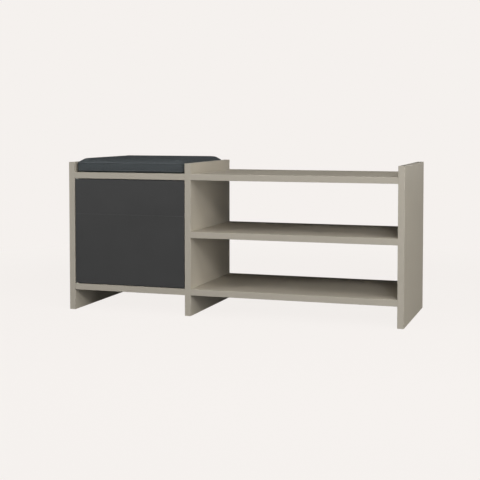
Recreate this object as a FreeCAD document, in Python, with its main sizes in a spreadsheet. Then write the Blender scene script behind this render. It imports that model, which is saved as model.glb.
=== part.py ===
import FreeCAD, Part
import os
import re
import Sketcher

# Entryway bench: three full-height uprights, a closed cabinet on the left, an open bay with three
# shelves on the right, and a loose seat cushion on top of the cabinet.
# Frame: origin on the floor at the middle of the footprint, +Z up, front towards -Y, millimetres.
# Every sub-part is drawn from its own front lower left corner and then placed.

# Driving dimensions: name, value, meaning. Each becomes a named cell of the spreadsheet.
SIZES = [
    ("bench_width", 1000, "outside of the left upright to outside of the right upright"),
    ("bench_depth", 350, "finished front edge to finished rear edge of every board"),
    ("upright_height", 440, "floor to the top edge of the uprights"),
    ("board_thickness", 18, "melamine faced board"),
    ("foot_height", 60, "floor to the underside of the lowest boards"),
    ("upright_rise", 30, "how far the uprights stand above the top boards"),
    ("cabinet_width", 350, "clear width between the left and centre uprights"),
    ("band_thickness", 0.8, "plastic edge band"),
    ("band_rounding", 0.6, "rounding of the two outer edges of a band"),
    ("back_thickness", 3, "hardboard back of the cabinet"),
    ("groove_width", 3.2, "groove that holds the back"),
    ("groove_depth", 8, "depth of that groove"),
    ("groove_setback", 12, "rear edge of a board to the groove"),
    ("back_play", 1, "play between the edge of the back and the bottom of its groove"),
    ("door_thickness", 18, "finished thickness of the door"),
    ("door_gap", 2, "gap all round the inset door"),
    ("door_setback", 1, "front edge of the cabinet to the face of the door"),
    ("score_width", 0.8, "fine score line across the face of the door"),
    ("score_depth", 0.4, "fine score line across the face of the door"),
    ("cam_radius", 7.4, "cam lock"),
    ("cam_bore_radius", 7.5, "bore for the cam lock"),
    ("cam_bore_past_axis", 5, "bore for the cam lock, past the axis of the bolt"),
    ("cam_end_space", 0.5, "empty end of that bore above the cam lock"),
    ("cam_sink", 0.3, "cam face below the face of the board"),
    ("cam_inset", 34, "end of a board to the centre of its cam lock"),
    ("cam_channel_half", 3.8, "half the width of the channel that takes the bolt head"),
    ("cam_play", 0.1, "bolt head to the solid base of the cam under its channel"),
    ("cam_wall", 2.6, "closed wall of the cam behind the bolt head"),
    ("recess_length", 8.4, "screwdriver cross in the cam"),
    ("recess_width", 1.8, "screwdriver cross in the cam"),
    ("recess_depth", 2.5, "screwdriver cross in the cam"),
    ("bolt_thread_radius", 2.45, "threaded end of the cam bolt"),
    ("bolt_thread_length", 11, "threaded end of the cam bolt"),
    ("bolt_shank_radius", 3, "plain shank of the cam bolt"),
    ("bolt_neck_radius", 2, "neck behind the head of the cam bolt"),
    ("bolt_neck_length", 2.8, "neck behind the head of the cam bolt"),
    ("bolt_head_radius", 3.4, "head of the cam bolt"),
    ("bolt_head_length", 3.6, "head of the cam bolt"),
    ("bolt_bore_radius", 4, "bore along the board for the bolt shank"),
    ("dowel_radius", 3.95, "beech dowel"),
    ("dowel_length", 30, "beech dowel"),
    ("dowel_chamfer", 1, "beech dowel"),
    ("dowel_bore_radius", 4, "bore for a dowel"),
    ("dowel_bore_in_end", 20.5, "depth of a dowel bore in the end of a board"),
    ("dowel_bore_in_face", 10.5, "depth of a dowel bore in the face of an upright"),
    ("bore_clearance", 0.05, "radial clearance of a screw or a bolt thread in its bore"),
    ("bore_end_space", 0.5, "empty end of a blind bore past a screw or a bolt"),
    ("cabinet_bolt_inset", 50, "front or rear edge to the bolts of the cabinet boards"),
    ("cabinet_dowel_inset", 90, "front or rear edge to the dowels of the cabinet boards"),
    ("shelf_bolt_inset", 70, "front or rear edge to the bolts of the open bay boards"),
    ("shelf_dowel_inset", 110, "front or rear edge to the dowels of the open bay boards"),
    ("pivot_inset", 4.5, "pivot axis from the hinge edge and from the face of the door"),
    ("pivot_pin_radius", 2, "pivot pin"),
    ("pivot_pin_reach", 11, "how far a pin enters the door"),
    ("pivot_head_radius", 3.2, "riveted head of the pin"),
    ("pivot_head_height", 0.8, "riveted head of the pin"),
    ("pivot_running", 0.05, "radial running clearance of the pin in its bush"),
    ("pivot_thrust", 0.1, "gap between the bush flange and the pivot plate"),
    ("bush_radius", 3.2, "nylon bush"),
    ("bush_length", 12, "nylon bush"),
    ("bush_flange_radius", 4.2, "flange of the nylon bush"),
    ("plate_width", 12, "pivot plate"),
    ("plate_length", 46, "pivot plate"),
    ("plate_thickness", 2, "pivot plate, let in flush"),
    ("plate_front", 1.5, "front edge of the board to the pivot plate"),
    ("plate_corner", 2, "corner radius of the pivot plate"),
    ("plate_clearance", 0.1, "clearance of the plate in its recess"),
    ("plate_screw_first", 24, "front edge of the board to the first plate screw"),
    ("plate_screw_second", 40, "front edge of the board to the second plate screw"),
    ("screw_radius", 1.45, "small wood screw"),
    ("screw_head_radius", 2.9, "small wood screw"),
    ("screw_length", 14, "countersunk wood screw, overall"),
    ("screw_tip", 2, "length of the screw point"),
    ("latch_offset", 65, "centre upright to the centre of the push latch"),
    ("latch_gap", 5, "back of the door to the latch housing"),
    ("latch_length", 60, "latch housing"),
    ("latch_width", 14, "latch housing"),
    ("latch_height", 16, "latch housing"),
    ("latch_axis_drop", 9, "underside of the cabinet top to the axis of the plunger"),
    ("latch_flange_width", 34, "mounting flange of the latch housing"),
    ("latch_flange_thickness", 2.5, "mounting flange of the latch housing"),
    ("latch_screw_spacing", 24, "across the mounting flange"),
    ("latch_guide_length", 4, "narrow front part of the plunger bore"),
    ("latch_rear_wall", 5, "closed rear end of the plunger bore"),
    ("plunger_radius", 4, "latch plunger"),
    ("plunger_length", 45, "latch plunger"),
    ("plunger_running", 0.08, "radial running clearance of the plunger"),
    ("collar_radius", 4.8, "collar that keeps the plunger in"),
    ("collar_length", 3, "collar of the plunger"),
    ("collar_start", 13, "tip of the plunger to its collar"),
    ("spring_well_radius", 2.7, "hollow rear end of the plunger"),
    ("spring_well_depth", 30, "hollow rear end of the plunger"),
    ("spring_coil_radius", 2, "mean radius of the latch spring"),
    ("spring_wire_radius", 0.3, "wire of the latch spring"),
    ("spring_pitch", 2.5, "latch spring"),
    ("spring_space", 3.5, "free space ahead of the spring, more than the plunger travel"),
    ("magnet_radius", 2.8, "magnet in the tip of the plunger"),
    ("magnet_length", 4, "magnet in the tip of the plunger"),
    ("magnet_clearance", 0.05, "radial clearance of the magnet in its pocket"),
    ("strike_width", 36, "steel plate that the plunger meets"),
    ("strike_height", 12, "steel plate that the plunger meets"),
    ("strike_thickness", 1, "steel plate that the plunger meets"),
    ("strike_gap", 0.2, "plunger tip to the strike plate when shut"),
    ("strike_screw_spacing", 26, "strike plate"),
    ("pan_head_radius", 2.6, "pan head screw of the strike plate"),
    ("pan_head_height", 1.2, "pan head screw of the strike plate"),
    ("pan_screw_length", 12, "pan head screw, overall"),
    ("cushion_side_gap", 3, "upright to the side of the cushion"),
    ("cushion_front_gap", 3, "front edge of the cabinet top to the front of the cushion"),
    ("cushion_rear_gap", 3, "rear edge of the cabinet top to the back of the cushion"),
    ("cushion_height", 40, "seat cushion"),
    ("cushion_lift", 0.1, "cushion above the cabinet top"),
    ("cushion_corner", 24, "corner radius of the cushion in plan"),
    ("cushion_edge", 10, "rounding of the upper and lower edges of the cushion"),
    ("cover_thickness", 1.2, "upholstery fabric with its lining"),
    ("foam_clearance", 0.4, "cover to foam core"),
]
WORDS = {name for name, value, meaning in SIZES}

# Dimensions that follow from the driving ones, written with the same names.
OPEN_WIDTH = "(bench_width - cabinet_width - 3 * board_thickness)"
TOP_LEVEL = "(upright_height - upright_rise - board_thickness)"
FLOOR_LEVEL = "foot_height"
MIDDLE_LEVEL = f"(({FLOOR_LEVEL} + {TOP_LEVEL}) / 2)"
CABINET_START = "board_thickness"
CENTRE_START = "(board_thickness + cabinet_width)"
OPEN_START = f"({CENTRE_START} + board_thickness)"
RIGHT_START = "(bench_width - board_thickness)"
GROOVE_START = "(bench_depth - groove_setback - groove_width)"
CLEAR_HEIGHT = f"({TOP_LEVEL} - foot_height - board_thickness)"
DOOR_WIDTH = "(cabinet_width - 2 * door_gap)"
DOOR_HEIGHT = f"({CLEAR_HEIGHT} - 2 * door_gap)"
DOOR_X = "(board_thickness + door_gap)"
DOOR_Z = "(foot_height + board_thickness + door_gap)"
DOOR_BACK = "(door_setback + door_thickness)"
SCORE_DROP = f"({DOOR_HEIGHT} / 3)"
CAM_BORE_DEPTH = "(board_thickness / 2 + cam_bore_past_axis)"
CAM_HEIGHT = f"({CAM_BORE_DEPTH} - cam_end_space - cam_sink)"
CAM_FLOOR = "(board_thickness / 2 - cam_sink - bolt_head_radius - cam_play)"
PIVOT_X = "(door_gap + pivot_inset)"
PIVOT_Y = "(door_setback + pivot_inset)"
LATCH_X = "(cabinet_width - latch_offset)"
LATCH_LEVEL = f"({TOP_LEVEL} - latch_axis_drop)"
LATCH_START = f"({DOOR_BACK} + latch_gap)"
PLUNGER_TIP = f"({DOOR_BACK} + strike_thickness + strike_gap)"
CUSHION_WIDTH = "(cabinet_width - 2 * cushion_side_gap)"
CUSHION_DEPTH = "(bench_depth - cushion_front_gap - cushion_rear_gap)"

X_AXIS = FreeCAD.Vector(1, 0, 0)
Y_AXIS = FreeCAD.Vector(0, 1, 0)
Z_AXIS = FreeCAD.Vector(0, 0, 1)
DRAFT_SIZE = 10.0  # starting value of every sketch dimension, before the sheet sets it
TOLERANCE = 0.01  # positions closer than this are the same
PARALLEL = 0.99  # cosine above which two directions are the same
SMALLEST_CUT = 0.1  # cubic millimetres; a pocket that removes less has missed its board

doc = FreeCAD.newDocument("entryway_bench")


def fill_sheet():
    """Write the driving dimensions into the spreadsheet, one named cell each."""
    sheet = doc.addObject("Spreadsheet::Sheet", "Sizes")
    for row, (name, value, meaning) in enumerate(SIZES, 1):
        sheet.set(f"A{row}", name)
        sheet.set(f"B{row}", str(value))
        sheet.set(f"C{row}", meaning)
        sheet.setAlias(f"B{row}", name)
    doc.recompute()


def from_sheet(formula):
    """Turn the bare names of a formula into references to the spreadsheet."""
    return re.sub(r"[a-z_]+", lambda word: f"Sizes.{word[0]}" if word[0] in WORDS else word[0], formula)


def bind(item, target, formula):
    item.setExpression(target, from_sheet(formula))


def place(item, x, y, z, target="Placement"):
    """Place an item by distances from the left side, from the front and from the floor."""
    bind(item, f"{target}.Base.x", f"{x} - bench_width / 2")
    bind(item, f"{target}.Base.y", f"{y} - bench_depth / 2")
    bind(item, f"{target}.Base.z", z)


def turned_by(axis, angle):
    return FreeCAD.Placement(FreeCAD.Vector(), FreeCAD.Rotation(axis, angle))


# ---------------------------------------------------------------- sketches and features

def new_sketch(body, role, name, offset=None):
    """A sketch on one of the body's own planes, moved along the plane's normal by `offset`."""
    sketch = body.newObject("Sketcher::SketchObject", name)
    plane = next(item for item in body.Origin.OriginFeatures if item.Role == role)
    sketch.AttachmentSupport = [(plane, "")]
    sketch.MapMode = "FlatFace"
    if offset:
        bind(sketch, "AttachmentOffset.Base.z", offset)
    return sketch


def dimension(sketch, kind, name, formula, *where):
    number = sketch.addConstraint(Sketcher.Constraint(kind, *where, DRAFT_SIZE))
    sketch.renameConstraint(number, name)
    bind(sketch, f"Constraints.{name}", formula)


def locate(sketch, item, point, name, across, up):
    """Fix a point of a line or circle at (across, up) from the sketch origin."""
    if across == "0" and up == "0":
        sketch.addConstraint(Sketcher.Constraint("Coincident", item, point, -1, 1))
        return
    if across == "0":
        sketch.addConstraint(Sketcher.Constraint("PointOnObject", item, point, -2))
    else:
        dimension(sketch, "DistanceX", f"{name}_across", across, -1, 1, item, point)
    if up == "0":
        sketch.addConstraint(Sketcher.Constraint("PointOnObject", item, point, -1))
    else:
        dimension(sketch, "DistanceY", f"{name}_up", up, -1, 1, item, point)


def draw_polygon(sketch, points):
    """Closed outline through points, each an (across, up) pair of formulas."""
    draft = [FreeCAD.Vector(DRAFT_SIZE * number, number % 3, 0) for number in range(len(points))]
    first = sketch.GeometryCount
    for number in range(len(points)):
        sketch.addGeometry(Part.LineSegment(draft[number], draft[number - len(points) + 1]), False)
    for number in range(len(points)):
        following = first + (number + 1) % len(points)
        sketch.addConstraint(Sketcher.Constraint("Coincident", first + number, 2, following, 1))
    for number, (across, up) in enumerate(points):
        locate(sketch, first + number, 1, f"point{first + number}", across, up)


def draw_rectangle(sketch, left, low, width, height):
    right = width if left == "0" else f"{left} + {width}"
    high = height if low == "0" else f"{low} + {height}"
    draw_polygon(sketch, [(left, low), (right, low), (right, high), (left, high)])


def draw_circles(sketch, centres, radius):
    for across, up in centres:
        middle = FreeCAD.Vector(DRAFT_SIZE, DRAFT_SIZE, 0)
        circle = sketch.addGeometry(Part.Circle(middle, Z_AXIS, 1), False)
        dimension(sketch, "Radius", f"radius{circle}", radius, circle)
        locate(sketch, circle, 3, f"centre{circle}", across, up)


def pad(body, sketch, length, reverse=False):
    feature = body.newObject("PartDesign::Pad", f"{sketch.Name}_pad")
    feature.Profile = sketch
    feature.Reversed = reverse
    bind(feature, "Length", length)
    return feature


def pocket(body, sketch, depth, reverse=False):
    feature = body.newObject("PartDesign::Pocket", f"{sketch.Name}_pocket")
    feature.Profile = sketch
    feature.Reversed = reverse
    bind(feature, "Length", depth)
    return feature


def bore(body, role, name, centres, radius, depth, reverse=False, offset=None):
    """Round blind holes from one of the body's planes."""
    sketch = new_sketch(body, role, name, offset)
    draw_circles(sketch, centres, radius)
    pocket(body, sketch, depth, reverse)


def slab(name, size, corner=("0", "0")):
    """A body that is one rectangular block; `corner` is its lower left corner in plan."""
    body = doc.addObject("PartDesign::Body", name)
    outline = new_sketch(body, "XY_Plane", f"{name}_outline")
    draw_rectangle(outline, corner[0], corner[1], size[0], size[1])
    return body, pad(body, outline, size[2])


def turned(name, profile):
    """A body turned about its own Z axis from (radius, height) pairs."""
    body = doc.addObject("PartDesign::Body", name)
    outline = new_sketch(body, "XZ_Plane", f"{name}_profile")
    draw_polygon(outline, profile)
    feature = body.newObject("PartDesign::Revolution", f"{name}_turned")
    feature.Profile = outline
    feature.ReferenceAxis = (outline, ["V_Axis"])
    feature.Angle = 360
    return body


def edges_where(shape, wanted):
    return [f"Edge{number}" for number, edge in enumerate(shape.Edges, 1) if wanted(edge)]


def runs_along(edge, axis):
    return edge.Curve.TypeId == "Part::GeomLine" and abs(edge.Curve.Direction.dot(axis)) > PARALLEL


def round_edges(body, feature, edges, radius, name):
    rounding = body.newObject("PartDesign::Fillet", name)
    rounding.Base = (feature, edges)
    bind(rounding, "Radius", radius)
    return rounding


def countersink(body, rims, name):
    """Widen the rims of screw holes to take the small wood screw's head."""
    drilled = body.Tip
    sink = body.newObject("PartDesign::Chamfer", name)
    sink.Base = (drilled, rims)
    bind(sink, "Size", "screw_head_radius - screw_radius")


def group(name, members):
    """One named sub-part that holds several separate solids."""
    compound = doc.addObject("Part::Compound", name)
    compound.Links = members
    return compound


def copies(name, master, spots):
    """Place links to one master piece; each spot is (x, y, z, placement that turns it)."""
    links = []
    for number, (x, y, z, turn) in enumerate(spots, 1):
        link = doc.addObject("App::Link", f"{name}_{number}")
        link.LinkedObject = master
        link.LinkPlacement = turn
        place(link, x, y, z, "LinkPlacement")
        links.append(link)
    return group(name, links)


# ---------------------------------------------------------------- positions of the joints

def insets(first):
    """The two places along the depth of a board: `first` from the front and from the rear."""
    return [first, f"bench_depth - {first}"]


CABINET_BOARDS = [(CABINET_START, "cabinet_width", TOP_LEVEL), (CABINET_START, "cabinet_width", FLOOR_LEVEL)]
OPEN_BOARDS = [(OPEN_START, OPEN_WIDTH, level) for level in (TOP_LEVEL, MIDDLE_LEVEL, FLOOR_LEVEL)]
MID_BOARD = "board_thickness / 2"


def board_ends(boards):
    """Each end of each board: x of the end, +1 or -1 into the board, and the board's level."""
    for start, length, level in boards:
        yield start, 1, level
        yield f"({start} + {length})", -1, level


# ---------------------------------------------------------------- boards

def horizontal_board(name, start, length, level, bolt_inset, dowel_inset):
    """A board between two uprights, with its cam, bolt and dowel bores."""
    core_depth = "bench_depth - 2 * band_thickness"
    body, block = slab(name, (length, core_depth, "board_thickness"), ("0", "band_thickness"))
    cams = [(x, y) for x in ("cam_inset", f"{length} - cam_inset") for y in insets(bolt_inset)]
    bore(body, "XY_Plane", f"{name}_cams", cams, "cam_bore_radius", CAM_BORE_DEPTH, reverse=True)
    bolts = [(y, MID_BOARD) for y in insets(bolt_inset)]
    dowels = [(y, MID_BOARD) for y in insets(dowel_inset)]
    for side, offset in (("left", None), ("right", length)):
        into = offset is None
        bore(body, "YZ_Plane", f"{name}_{side}_bolts", bolts, "bolt_bore_radius",
             "cam_inset - cam_bore_radius / 2", into, offset)
        bore(body, "YZ_Plane", f"{name}_{side}_dowels", dowels, "dowel_bore_radius",
             "dowel_bore_in_end", into, offset)
    place(body, start, "0", level)
    return body


def upright(name, start):
    """A full-height board standing on the floor; its thickness runs along X."""
    body, block = slab(
        name,
        ("board_thickness", "bench_depth - 2 * band_thickness", "upright_height - band_thickness"),
        ("0", "band_thickness"),
    )
    place(body, start, "0", "0")
    return body


def drill_upright(body, side, boards, bolt_inset, dowel_inset):
    """Bolt and dowel bores in the left or right face of an upright, one row for each board."""
    offset = "board_thickness" if side == "right" else None
    into = side == "left"
    levels = [f"{level} + {MID_BOARD}" for start, length, level in boards]
    bolts = [(y, z) for y in insets(bolt_inset) for z in levels]
    dowels = [(y, z) for y in insets(dowel_inset) for z in levels]
    bore(body, "YZ_Plane", f"{body.Name}_{side}_bolts", bolts, "bolt_thread_radius + bore_clearance",
         "bolt_thread_length + bore_end_space", into, offset)
    bore(body, "YZ_Plane", f"{body.Name}_{side}_dowels", dowels, "dowel_bore_radius",
         "dowel_bore_in_face", into, offset)


def groove_upright(body, side):
    """Stopped groove for the cabinet back in the left or right face of an upright."""
    offset = "board_thickness" if side == "right" else None
    sketch = new_sketch(body, "YZ_Plane", f"{body.Name}_groove", offset)
    low = "foot_height + board_thickness - groove_depth"
    draw_rectangle(sketch, GROOVE_START, low, "groove_width", f"{CLEAR_HEIGHT} + 2 * groove_depth")
    pocket(body, sketch, "groove_depth", side == "left")


def groove_board(body, on_top):
    """Through groove for the cabinet back in the top or under face of a cabinet board."""
    offset = "board_thickness" if on_top else None
    sketch = new_sketch(body, "XY_Plane", f"{body.Name}_groove", offset)
    draw_rectangle(sketch, "0", GROOVE_START, "cabinet_width", "groove_width")
    pocket(body, sketch, "groove_depth", not on_top)


def let_in_pivot_plate(body, on_top):
    """Recess and screw bores for a pivot plate in the top or under face of a cabinet board."""
    offset = "board_thickness" if on_top else None
    sketch = new_sketch(body, "XY_Plane", f"{body.Name}_recess", offset)
    draw_rectangle(
        sketch,
        f"{PIVOT_X} - plate_width / 2 - plate_clearance",
        "plate_front - plate_clearance",
        "plate_width + 2 * plate_clearance",
        "plate_length + 2 * plate_clearance",
    )
    pocket(body, sketch, "plate_thickness", not on_top)
    centres = [(PIVOT_X, y) for y in ("plate_screw_first", "plate_screw_second")]
    bore(body, "XY_Plane", f"{body.Name}_pilots", centres, "screw_radius + bore_clearance",
         "screw_length + bore_end_space", not on_top, offset)


def bore_for_latch(body):
    """Pilot bores for the latch screws in the underside of the cabinet top."""
    centres = latch_screw_spots()
    bore(body, "XY_Plane", f"{body.Name}_latch_pilots", centres, "screw_radius + bore_clearance",
         "screw_length - latch_flange_thickness + bore_end_space", True)


def latch_screw_spots():
    middle = f"{LATCH_START} + latch_length / 2"
    return [(f"{LATCH_X} {sign} latch_screw_spacing / 2", middle) for sign in "-+"]


# ---------------------------------------------------------------- edge bands

def edge_strip(name, size, spot, run, outward):
    """A band of edging: a thin strip along `run` whose two outer long edges are rounded."""
    body, block = slab(name, size)
    doc.recompute()
    reach = max(edge.CenterOfMass.dot(outward) for edge in block.Shape.Edges)
    edges = edges_where(
        block.Shape,
        lambda edge: runs_along(edge, run) and reach - edge.CenterOfMass.dot(outward) < TOLERANCE,
    )
    round_edges(body, block, edges, "band_rounding", f"{name}_rounded")
    place(body, *spot)
    return body


def upright_edging(name, start):
    """Front, rear and top bands of an upright."""
    core_height = "upright_height - band_thickness"
    upright_size = ("board_thickness", "band_thickness", core_height)
    cap_size = ("board_thickness", "bench_depth", "band_thickness")
    rear = "bench_depth - band_thickness"
    group(name, [
        edge_strip(f"{name}_front", upright_size, (start, "0", "0"), Z_AXIS, -Y_AXIS),
        edge_strip(f"{name}_rear", upright_size, (start, rear, "0"), Z_AXIS, Y_AXIS),
        edge_strip(f"{name}_top", cap_size, (start, "0", core_height), Y_AXIS, Z_AXIS),
    ])


def board_edging(name, start, length, level):
    """Front and rear bands of a horizontal board."""
    size = (length, "band_thickness", "board_thickness")
    rear = "bench_depth - band_thickness"
    group(name, [
        edge_strip(f"{name}_front", size, (start, "0", level), X_AXIS, -Y_AXIS),
        edge_strip(f"{name}_rear", size, (start, rear, level), X_AXIS, Y_AXIS),
    ])


# ---------------------------------------------------------------- fasteners of the carcass

def cam_lock():
    """Cam lock: a short cylinder with a side channel for the bolt head and a screwdriver cross."""
    profile = [("0", "0"), ("cam_radius", "0"), ("cam_radius", CAM_HEIGHT), ("0", CAM_HEIGHT)]
    body = turned("cam_lock", profile)
    channel = new_sketch(body, "XY_Plane", "cam_channel", CAM_FLOOR)
    draw_rectangle(channel, "-cam_radius", "-cam_channel_half",
                   "(2 * cam_radius - cam_wall)", "2 * cam_channel_half")
    pocket(body, channel, f"{CAM_HEIGHT} - {CAM_FLOOR}", True)
    for name, width, depth in (("cross_long", "recess_length", "recess_width"),
                               ("cross_wide", "recess_width", "recess_length")):
        slot = new_sketch(body, "XY_Plane", name)
        draw_rectangle(slot, f"-{width} / 2", f"-{depth} / 2", width, depth)
        pocket(body, slot, "recess_depth", True)
    return body


def cam_bolt():
    """Cam bolt: thread, shank, neck and head, with its threaded tip at the origin."""
    shank_end = "bolt_thread_length + cam_inset - bolt_head_length / 2 - bolt_neck_length"
    head_start = "bolt_thread_length + cam_inset - bolt_head_length / 2"
    head_end = "bolt_thread_length + cam_inset + bolt_head_length / 2"
    return turned("cam_bolt", [
        ("0", "0"),
        ("bolt_thread_radius", "0"),
        ("bolt_thread_radius", "bolt_thread_length"),
        ("bolt_shank_radius", "bolt_thread_length"),
        ("bolt_shank_radius", shank_end),
        ("bolt_neck_radius", shank_end),
        ("bolt_neck_radius", head_start),
        ("bolt_head_radius", head_start),
        ("bolt_head_radius", head_end),
        ("0", head_end),
    ])


def dowel():
    return turned("dowel", [
        ("0", "0"),
        ("dowel_radius - dowel_chamfer", "0"),
        ("dowel_radius", "dowel_chamfer"),
        ("dowel_radius", "dowel_length - dowel_chamfer"),
        ("dowel_radius - dowel_chamfer", "dowel_length"),
        ("0", "dowel_length"),
    ])


def fasten(suffix, boards, bolt_inset, dowel_inset, cam, bolt, pin):
    """Cam locks, cam bolts and dowels of one set of horizontal boards."""
    cams = []
    bolts = []
    pins = []
    for end, into, level in board_ends(boards):
        sign = "+" if into > 0 else "-"
        back = "-" if into > 0 else "+"
        middle = f"{level} + {MID_BOARD}"
        for y in insets(bolt_inset):
            turn = turned_by(Z_AXIS, 0 if into > 0 else 180)
            cams.append((f"{end} {sign} cam_inset", y, f"{level} + cam_sink", turn))
            bolts.append((f"{end} {back} bolt_thread_length", y, middle, turned_by(Y_AXIS, 90 * into)))
        for y in insets(dowel_inset):
            start = f"{end} {back} (dowel_bore_in_face - bore_end_space / 2)"
            pins.append((start, y, middle, turned_by(Y_AXIS, 90 * into)))
    copies(f"cam_locks_{suffix}", cam, cams)
    copies(f"cam_bolts_{suffix}", bolt, bolts)
    copies(f"dowels_{suffix}", pin, pins)


# ---------------------------------------------------------------- door and its pivots

def door_panel():
    """Core of the door, with its score line and bores for the pivot bushes and the strike plate."""
    body, block = slab("door_panel", (f"{DOOR_WIDTH} - 2 * band_thickness", "door_thickness",
                                      f"{DOOR_HEIGHT} - 2 * band_thickness"), ("band_thickness", "0"))
    centre = [("pivot_inset", "pivot_inset")]
    depth = "bush_length + bore_end_space - band_thickness"
    top = f"{DOOR_HEIGHT} - 2 * band_thickness"
    bore(body, "XY_Plane", "door_lower_bush_bore", centre, "bush_radius", depth, True)
    bore(body, "XY_Plane", "door_upper_bush_bore", centre, "bush_radius", depth, False, top)
    screws = [(f"{LATCH_X} - door_gap {sign} strike_screw_spacing / 2",
               f"{LATCH_LEVEL} - {DOOR_Z} - band_thickness") for sign in "-+"]
    bore(body, "XZ_Plane", "door_strike_pilots", screws, "screw_radius + bore_clearance",
         "pan_screw_length - pan_head_height - strike_thickness + bore_end_space", True,
         "-door_thickness")
    score = new_sketch(body, "XZ_Plane", "door_score")
    draw_rectangle(score, "band_thickness", f"{DOOR_HEIGHT} - {SCORE_DROP} - band_thickness",
                   f"{DOOR_WIDTH} - 2 * band_thickness", "score_width")
    pocket(body, score, "score_depth")
    place(body, DOOR_X, "door_setback", f"{DOOR_Z} + band_thickness")


def door_edging():
    """Bands on all four edges of the door; the upper and lower ones let the bushes through."""
    side_size = ("band_thickness", "door_thickness", f"{DOOR_HEIGHT} - 2 * band_thickness")
    long_size = (DOOR_WIDTH, "door_thickness", "band_thickness")
    side_level = f"{DOOR_Z} + band_thickness"
    right = f"{DOOR_X} + {DOOR_WIDTH} - band_thickness"
    top_level = f"{DOOR_Z} + {DOOR_HEIGHT} - band_thickness"
    strips = [
        edge_strip("door_hinge_band", side_size, (DOOR_X, "door_setback", side_level), Z_AXIS, -X_AXIS),
        edge_strip("door_free_band", side_size, (right, "door_setback", side_level), Z_AXIS, X_AXIS),
        edge_strip("door_lower_band", long_size, (DOOR_X, "door_setback", DOOR_Z), X_AXIS, -Z_AXIS),
        edge_strip("door_upper_band", long_size, (DOOR_X, "door_setback", top_level), X_AXIS, Z_AXIS),
    ]
    for strip in strips[2:]:
        bore(strip, "XY_Plane", f"{strip.Name}_hole", [("pivot_inset", "pivot_inset")],
             "bush_radius", "band_thickness", True)
    group("door_edging", strips)


def pivot_plate():
    """Steel plate with its buried face down; the pivot axis stands on the origin."""
    plate_start = f"plate_front - {PIVOT_Y}"
    body, block = slab("pivot_plate", ("plate_width", "plate_length", "plate_thickness"),
                       ("-plate_width / 2", plate_start))
    doc.recompute()
    corners = edges_where(block.Shape, lambda edge: runs_along(edge, Z_AXIS))
    round_edges(body, block, corners, "plate_corner", "pivot_plate_corners")
    hole = "pivot_pin_radius + bore_clearance"
    bore(body, "XY_Plane", "pivot_plate_hole", [("0", "0")], hole, "plate_thickness", True)
    seat = "pivot_head_radius + bore_clearance"
    bore(body, "XY_Plane", "pivot_plate_seat", [("0", "0")], seat, "pivot_head_height", True)
    screws = [("0", f"{y} - {PIVOT_Y}") for y in ("plate_screw_first", "plate_screw_second")]
    bore(body, "XY_Plane", "pivot_plate_screw_holes", screws, "screw_radius + bore_clearance",
         "plate_thickness", True)
    doc.recompute()
    countersink(body, edges_where(body.Shape, is_screw_rim), "pivot_plate_countersinks")
    return body


def is_screw_rim(edge):
    """True for the visible rims of the screw holes: circles on the plate's upper face, off the axis."""
    if edge.Curve.TypeId != "Part::GeomCircle" or len(edge.Vertexes) != 1:
        return False
    centre = edge.Curve.Center
    return centre.z > TOLERANCE and centre.y > TOLERANCE


def pivot_pin():
    """Riveted pin of a pivot plate, head down."""
    top = "plate_thickness + door_gap + pivot_pin_reach"
    return turned("pivot_pin", [
        ("0", "0"),
        ("pivot_head_radius", "0"),
        ("pivot_head_radius", "pivot_head_height - bore_clearance"),
        ("pivot_pin_radius", "pivot_head_height - bore_clearance"),
        ("pivot_pin_radius", f"{top} - pivot_pin_radius / 4"),
        ("pivot_pin_radius * 3 / 4", top),
        ("0", top),
    ])


def pivot_bush():
    """Flanged nylon bush pressed into the door, flange down, its flange face at the origin level."""
    flange = "door_gap - pivot_thrust"
    inner = "pivot_pin_radius + pivot_running"
    return turned("pivot_bush", [
        (inner, "0"),
        ("bush_flange_radius", "0"),
        ("bush_flange_radius", flange),
        ("bush_radius", flange),
        ("bush_radius", f"{flange} + bush_length"),
        (inner, f"{flange} + bush_length"),
    ])


def wood_screw():
    """Countersunk screw, point down, with the face of its head at screw_length."""
    head_start = "screw_length - (screw_head_radius - screw_radius)"
    return turned("wood_screw", [
        ("0", "0"),
        ("screw_radius", "screw_tip"),
        ("screw_radius", head_start),
        ("screw_head_radius", "screw_length"),
        ("0", "screw_length"),
    ])


def pan_screw():
    """Pan head screw, point down."""
    head_start = "pan_screw_length - pan_head_height"
    return turned("pan_screw", [
        ("0", "0"),
        ("screw_radius", "screw_tip"),
        ("screw_radius", head_start),
        ("pan_head_radius", head_start),
        ("pan_head_radius", f"{head_start} + pan_head_height / 2"),
        ("pan_head_radius * 3 / 4", "pan_screw_length"),
        ("0", "pan_screw_length"),
    ])


def door_pivots(screw):
    """Plates, pins, bushes and screws above and below the hinge edge of the door."""
    plate = pivot_plate()
    pin = pivot_pin()
    bush = pivot_bush()
    x = f"board_thickness + {PIVOT_X}"
    low = "foot_height + board_thickness"
    upright_turn = turned_by(Y_AXIS, 0)
    upside_down = turned_by(Y_AXIS, 180)
    sides = [
        ("lower", f"{low} - plate_thickness", f"{low} + pivot_thrust", upright_turn),
        ("upper", f"{TOP_LEVEL} + plate_thickness", f"{TOP_LEVEL} - pivot_thrust", upside_down),
    ]
    for side, plate_level, bush_level, turn in sides:
        copies(f"{side}_pivot_plate", plate, [(x, PIVOT_Y, plate_level, turn)])
        copies(f"{side}_pivot_pin", pin, [(x, PIVOT_Y, plate_level, turn)])
        copies(f"{side}_pivot_bush", bush, [(x, PIVOT_Y, bush_level, turn)])
    screws = []
    for y in ("plate_screw_first", "plate_screw_second"):
        screws.append((x, y, f"{low} - screw_length", upright_turn))
        screws.append((x, y, f"{TOP_LEVEL} + screw_length", upside_down))
    copies("pivot_plate_screws", screw, screws)


# ---------------------------------------------------------------- push latch

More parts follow.
